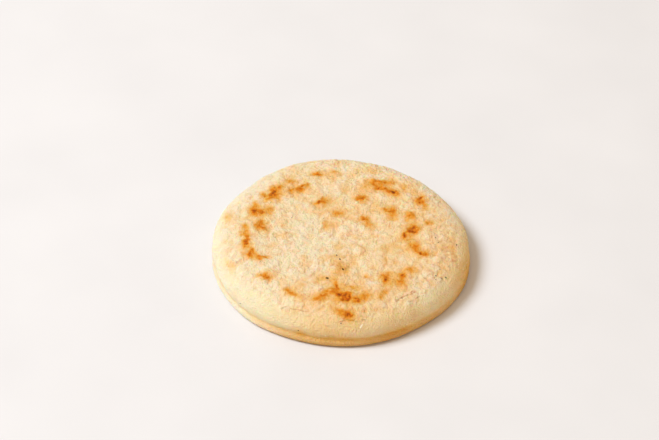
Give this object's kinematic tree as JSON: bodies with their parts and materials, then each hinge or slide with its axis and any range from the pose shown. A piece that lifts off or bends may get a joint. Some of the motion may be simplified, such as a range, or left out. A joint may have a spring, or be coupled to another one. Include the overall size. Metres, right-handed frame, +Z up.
{
  "type": "arepa corn cake",
  "caption": "Thick round griddled cake of white maize dough with toasted patches, a wide soft shoulder and a rolled foot, eaten whole, split or filled.",
  "frame": {"origin": "middle of the footprint, on the surface that the underside rests on", "axes": "+Z up through the thickness; -Y is the front, where the crease above the foot shows; +X to the right seen from the front"},
  "size_m": [0.1204, 0.1204, 0.017],
  "materials": {
    "baked_maize_dough": "matte"
  },
  "bodies": {
    "root": {"corn_cake": "baked_maize_dough"}
  },
  "joints": []
}
